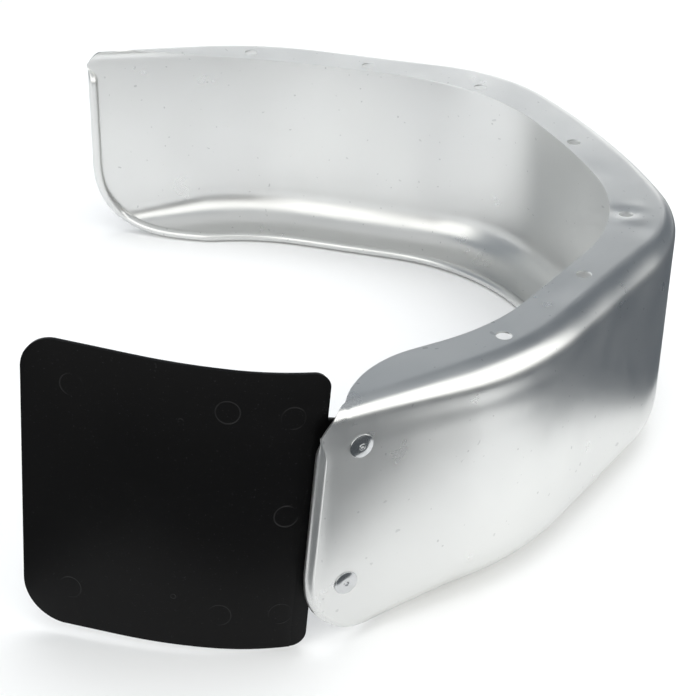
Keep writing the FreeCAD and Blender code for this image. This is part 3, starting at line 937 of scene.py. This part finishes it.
def rivet_profile(settings):
    """Wide flange with a thin edge, a low dome, the lip round the hole, the shank and its bulb.

    Radius and height over the leg's outer face, from the hole's floor round to the tail."""
    head_r, head_h, bore_r = settings.head_r, settings.head_h, settings.bore_r
    shank_r, bulb_r, bulb_h = settings.shank_r, settings.bulb_r, settings.bulb_h
    hole_depth, edge, lip_w, lip_h = 1.4 * MM, 0.35 * MM, 0.95 * MM, 0.35 * MM
    lip_r = bore_r + lip_w
    profile = [(bore_r, head_h - hole_depth), (bore_r, head_h - 0.3 * MM),
               (bore_r + 0.2 * MM, head_h - 0.05 * MM), (lip_r - 0.4 * MM, head_h),
               (lip_r - 0.15 * MM, head_h - 0.1 * MM)]
    foot_r, foot_h, top_h = head_r - edge * 1.6, edge * 1.9, head_h - lip_h
    for step in range(DOME_STEPS + 1):
        share = 1 - step / DOME_STEPS
        swell = math.sin(share * math.pi / 2) ** 0.9
        profile.append((foot_r + (lip_r - foot_r) * share, foot_h + (top_h - foot_h) * swell))
    profile += [(head_r - edge * 1.1, edge * 1.9), (head_r - edge * 0.4, edge * 1.7),
                (head_r, edge * 1.2), (head_r, edge * 0.5), (head_r - edge, 0.0),
                (shank_r, 0.0), (shank_r, -RIVET_GRIP), (bulb_r * 0.85, -RIVET_GRIP),
                (bulb_r, -RIVET_GRIP - bulb_h * 0.3), (bulb_r, -RIVET_GRIP - bulb_h * 0.65),
                (bulb_r * 0.86, -RIVET_GRIP - bulb_h * 0.9),
                (shank_r, -RIVET_GRIP - bulb_h), (bore_r, -RIVET_GRIP - bulb_h)]
    return profile


FLAP_BEHIND_RIVETS = 20 * MM
# Radius, turn in degrees and straight length of the flap's outer line, from the tongue's end.
FLAP_MOVES = ((0, 0, 23.88), (12, 40, 0), (0, 0, 2.8), (16, -28, 0), (0, 0, 3.5),
              (160, 21, 0), (300, 11.5, 0), (0, 0, 71))
# Length along the flap from the tongue's end, and height, of each round mark, in millimetres.
MOULD_MARKS = ((202, 172), (104, 172), (64, 170), (63, 100), (100, 24), (61, 26), (199, 24))
VENT_MARKS = ((132, 162), (130, 34))


def flap_place(leg, travelled, height):
    """Point of the flap's outer face at a length along it."""
    run, depth, turn = -FLAP_BEHIND_RIVETS, 0.0, 0.0
    for radius, angle, straight in FLAP_MOVES:
        radius, straight, swing = radius * MM, straight * MM, math.radians(angle)
        span = straight or radius * abs(swing)
        part = min(travelled, span)
        if straight:
            run += part * math.cos(turn)
            depth += part * math.sin(turn)
        else:
            sign = math.copysign(1, swing)
            heading = turn + sign * part / radius
            run += sign * radius * (math.sin(heading) - math.sin(turn))
            depth += sign * radius * (math.cos(turn) - math.cos(heading))
            turn = heading
        travelled -= part
        if travelled <= 0:
            break
    return leg.point(run, depth, height)


def rounded_copy(node, name, radius):
    """Copy of a CAD node's mesh with its sharp edges rounded."""
    mesh = bmesh.new()
    mesh.from_mesh(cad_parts[node].data)
    bmesh.ops.remove_doubles(mesh, verts=mesh.verts, dist=0.001 * MM)
    bmesh.ops.dissolve_limit(mesh, angle_limit=math.radians(0.6), verts=mesh.verts,
                             edges=mesh.edges)
    sharp = [edge for edge in mesh.edges
             if len(edge.link_faces) == 2 and edge.calc_face_angle() > math.radians(50)]
    bmesh.ops.bevel(mesh, geom=sharp, offset=radius, offset_type="OFFSET", segments=3,
                    profile=0.5, affect="EDGES", clamp_overlap=True)
    return new_piece(name, mesh)


# Operators

class MUDGUARD_OT_shell(bpy.types.Operator):
    """Press the sheet with its flange, wall and skirt, punch it and roll its rim"""

    bl_idname = "mudguard.shell"
    bl_label = "Pressed sheet"

    def execute(self, context):
        settings = context.scene.mudguard_sheet
        sheet = Sheet(settings)
        material = galvanised_finish(settings)
        dress("guard_shell", material)
        skin = new_piece("pressed_sheet", sheet_skin(sheet))
        punch(skin, sheet)
        sharpen(skin, math.radians(50))
        stand_for(skin, "guard_shell", material)
        rim = tube("rolled_rim", rim_centres(sheet), 20)
        sharpen(rim, math.radians(60))
        stand_for(rim, "guard_shell", material)
        return {"FINISHED"}


class MUDGUARD_OT_flap(bpy.types.Operator):
    """Finish the moulded mud flap"""

    bl_idname = "mudguard.flap"
    bl_label = "Mud flap"

    def execute(self, context):
        settings = context.scene.mudguard_flap
        leg = Leg(Sheet(context.scene.mudguard_sheet))
        marks, vents = ([flap_place(leg, run * MM, height * MM) for run, height in rows]
                        for rows in (MOULD_MARKS, VENT_MARKS))
        material = plastic_finish(settings, marks, vents)
        dress("mud_flap", material)
        moulded = rounded_copy("mud_flap", "moulded_flap", settings.edge_round)
        sharpen(moulded, math.radians(35))
        stand_for(moulded, "mud_flap", material)
        return {"FINISHED"}


class MUDGUARD_OT_rivets(bpy.types.Operator):
    """Finish the two blind rivets and their snapped mandrels"""

    bl_idname = "mudguard.rivets"
    bl_label = "Rivets"

    def execute(self, context):
        settings = context.scene.mudguard_rivets
        material = rivet_finish(settings)
        dress("rivet_bodies", material)
        leg = Leg(Sheet(context.scene.mudguard_sheet))
        mesh = bmesh.new()
        for height in RIVET_HEIGHTS:
            lathe(mesh, leg, height, [(radius, rise + context.scene.mudguard_sheet.thickness)
                                      for radius, rise in rivet_profile(settings)])
        bmesh.ops.recalc_face_normals(mesh, faces=mesh.faces)
        heads = new_piece("rivet_heads", mesh)
        sharpen(heads, math.radians(40))
        stand_for(heads, "rivet_bodies", material)
        dress("rivet_mandrels", mandrel_finish())
        return {"FINISHED"}


def paper_finish(colour):
    """White paper that is clear from behind, so the guard can be looked at from every side."""
    finish = Finish("white_floor")
    finish.put(finish.surface, "Base Color", tuple(colour))
    finish.put(finish.surface, "Roughness", 0.9)
    mixed = finish.node("ShaderNodeMixShader")
    finish.link(finish.node("ShaderNodeNewGeometry").outputs["Backfacing"], mixed.inputs[0])
    finish.link(finish.surface.outputs[0], mixed.inputs[1])
    finish.link(finish.node("ShaderNodeBsdfTransparent").outputs[0], mixed.inputs[2])
    finish.link(mixed.outputs[0], finish.tree.nodes["Material Output"].inputs["Surface"])
    return finish.material


def stage_piece(name, points, faces, material):
    mesh = bpy.data.meshes.new(name)
    mesh.from_pydata(points, [], faces)
    mesh.materials.append(material)
    mesh.shade_smooth()
    piece = bpy.data.objects.new(name, mesh)
    bpy.context.collection.objects.link(piece)
    return piece


FLOOR_HEADING = math.radians(31.3)
FLOOR_AHEAD = Vector((math.sin(FLOOR_HEADING), math.cos(FLOOR_HEADING), 0))
FLOOR_SIDE = Vector((math.cos(FLOOR_HEADING), -math.sin(FLOOR_HEADING), 0))


def floor_point(run, across, height=0.0):
    return FLOOR_AHEAD * run + FLOOR_SIDE * across + UP * height


def white_floor(material):
    """Level floor that curves up into a backdrop behind the guard."""
    front, half_width, lowered = -12.0, 3.0, 0.0002
    bend_start, bend_r, top = 1.25, 0.45, 0.9
    profile = [(front, 0.0), (bend_start, 0.0)]
    steps = 12
    for step in range(1, steps + 1):
        angle = math.pi / 2 * step / steps
        profile.append((bend_start + bend_r * math.sin(angle), bend_r * (1 - math.cos(angle))))
    profile.append((bend_start + bend_r, top))
    points = [floor_point(run, across, rise - lowered)
              for run, rise in profile for across in (-half_width, half_width)]
    faces = [(2 * row, 2 * row + 1, 2 * row + 3, 2 * row + 2) for row in range(len(profile) - 1)]
    stage_piece("white_floor", points, faces, material)


def card(name, corners, colour, lights=False):
    """Glowing card outside the picture, which shapes what the metal mirrors."""
    material = bpy.data.materials.new(name)
    material.use_nodes = True
    nodes = material.node_tree.nodes
    nodes.remove(nodes["Principled BSDF"])
    glow = nodes.new("ShaderNodeEmission")
    glow.inputs["Color"].default_value = (*colour, 1)
    material.node_tree.links.new(glow.outputs[0], nodes["Material Output"].inputs["Surface"])
    piece = stage_piece(name, corners, [tuple(range(len(corners)))], material)
    piece.visible_camera = False
    piece.visible_diffuse = lights
    piece.visible_transmission = False
    piece.visible_shadow = False


def standing_card(name, azimuths, distance, heights, colour, lights=False):
    """Card that spans two azimuths, counted from +Y towards +X, at a distance."""
    ends = [Vector((math.sin(math.radians(azimuth)), math.cos(math.radians(azimuth)), 0)) * distance
            for azimuth in azimuths]
    low, high = heights
    card(name, [ends[0] + UP * low, ends[1] + UP * low, ends[1] + UP * high, ends[0] + UP * high],
         colour, lights)


def area_lamp(name, place, target, size, power):
    lamp = bpy.data.lights.new(name, "AREA")
    lamp.shape = "RECTANGLE"
    lamp.size, lamp.size_y = size
    lamp.energy = power
    piece = bpy.data.objects.new(name, lamp)
    piece.location = place
    aim = Vector(target) - Vector(place)
    piece.rotation_euler = aim.to_track_quat("-Z", "Y").to_euler()
    piece.visible_camera = False
    piece.visible_glossy = False
    bpy.context.collection.objects.link(piece)


# Corners of the cards over the floor and over the guard, in metres.
MAT_HEIGHT = 0.0006
RIGHT_MAT = ((0.225, -0.6), (5, -0.6), (5, 2), (0.62, 2))
FRONT_MAT = ((-3, -6), (5, -6), (5, -0.5), (0.24, -0.5), (0.06, -0.43), (-0.1, -0.385),
             (-0.3, -0.36), (-3, -0.36))
LEFT_MAT = ((-1.6, -0.36), (-0.31, -0.36), (-0.31, -0.12), (-1.6, -0.12))
TOP_CARD_HEIGHT = 1.6
TOP_CARD = ((-1, -0.9), (0.45, -0.9), (0.45, 0.7), (-1, 0.7))
# Name, azimuths in degrees and top of each bright panel in front.
PANELS = (("right_front_panel", (102, 156), 2.2), ("front_panel", (156, 210), 1.9),
          ("left_front_panel", (210, 262), 1.9))
PANEL_DISTANCE = 2.2
PANEL_FOOT = 0.05
RIGHT_CARD_AZIMUTHS = (38, 96)
RIGHT_CARD_DISTANCE = 2.0
RIGHT_CARD_HEIGHTS = (0.02, 2.8)
SOFTBOX_PLACE = (0.2, 0.1, 1.5)
SOFTBOX_TARGET = (0.2, 0.1, 0)
SOFTBOX_POWER = 20
BACKDROP_POWER = 5


class MUDGUARD_OT_stage(bpy.types.Operator):
    """Set the camera, the soft lights and the pale floor"""

    bl_idname = "mudguard.stage"
    bl_label = "Studio"

    def execute(self, context):
        settings = context.scene.mudguard_studio
        white_floor(paper_finish(settings.paper))
        for name, corners, height, colour in (
                ("right_mat", RIGHT_MAT, MAT_HEIGHT, settings.dark_card),
                ("front_mat", FRONT_MAT, MAT_HEIGHT, settings.grey_card),
                ("left_mat", LEFT_MAT, MAT_HEIGHT, settings.grey_card),
                ("top_card", TOP_CARD, TOP_CARD_HEIGHT, settings.top_card)):
            card(name, [Vector((x, y, height)) for x, y in corners], colour)
        standing_card("right_card", RIGHT_CARD_AZIMUTHS, RIGHT_CARD_DISTANCE,
                      RIGHT_CARD_HEIGHTS, settings.side_card)
        for name, azimuths, top in PANELS:
            standing_card(name, azimuths, PANEL_DISTANCE, (PANEL_FOOT, top),
                          settings.white_card, lights=True)
        area_lamp("overhead_softbox", SOFTBOX_PLACE, SOFTBOX_TARGET, (1.8, 1.8), SOFTBOX_POWER)
        area_lamp("backdrop_lamp", floor_point(0.4, 0, 1.4), floor_point(1.7, 0, 0.45),
                  (1.6, 0.5), BACKDROP_POWER)
        world = bpy.data.worlds.new("studio")
        world.use_nodes = True
        backdrop = world.node_tree.nodes["Background"]
        backdrop.inputs["Color"].default_value = (*settings.room, 1)
        backdrop.inputs["Strength"].default_value = 1.0
        context.scene.world = world
        self.set_camera(context, settings)
        context.scene.view_settings.view_transform = "Standard"
        return {"FINISHED"}

    def set_camera(self, context, settings):
        yaw, pitch = settings.camera_yaw, settings.camera_pitch
        ahead = Vector((math.sin(yaw) * math.cos(pitch), math.cos(yaw) * math.cos(pitch),
                        -math.sin(pitch)))
        level = Vector((math.cos(yaw), -math.sin(yaw), 0))
        upright = level.cross(ahead)
        roll = settings.camera_roll
        right = level * math.cos(roll) + upright * math.sin(roll)
        up = right.cross(ahead)
        data = bpy.data.cameras.new("camera")
        data.lens = settings.lens
        data.sensor_width = 36
        data.clip_start = 0.05
        camera = bpy.data.objects.new("camera", data)
        turn = Matrix((right, up, -ahead)).transposed().to_4x4()
        camera.matrix_world = Matrix.Translation(settings.camera_place) @ turn
        context.collection.objects.link(camera)
        context.scene.camera = camera


class MUDGUARD_PT_panel(bpy.types.Panel):
    """The mudguard's parts, one button each"""

    bl_idname = "MUDGUARD_PT_panel"
    bl_label = "Mudguard"
    bl_space_type = "VIEW_3D"
    bl_region_type = "UI"
    bl_category = "Mudguard"

    def draw(self, context):
        for operator in PARTS:
            self.layout.operator(operator.bl_idname)


PARTS = (MUDGUARD_OT_shell, MUDGUARD_OT_flap, MUDGUARD_OT_rivets, MUDGUARD_OT_stage)
CLASSES = (*SETTINGS.values(), *PARTS, MUDGUARD_PT_panel)


def register():
    for item in CLASSES:
        bpy.utils.register_class(item)
    for name, group in SETTINGS.items():
        setattr(bpy.types.Scene, name, PointerProperty(type=group))


def unregister():
    for name in SETTINGS:
        delattr(bpy.types.Scene, name)
    for item in reversed(CLASSES):
        bpy.utils.unregister_class(item)


def main():
    register()
    bpy.ops.mudguard.shell()
    bpy.ops.mudguard.flap()
    bpy.ops.mudguard.rivets()
    bpy.ops.mudguard.stage()


if __name__ == "__main__":
    main()
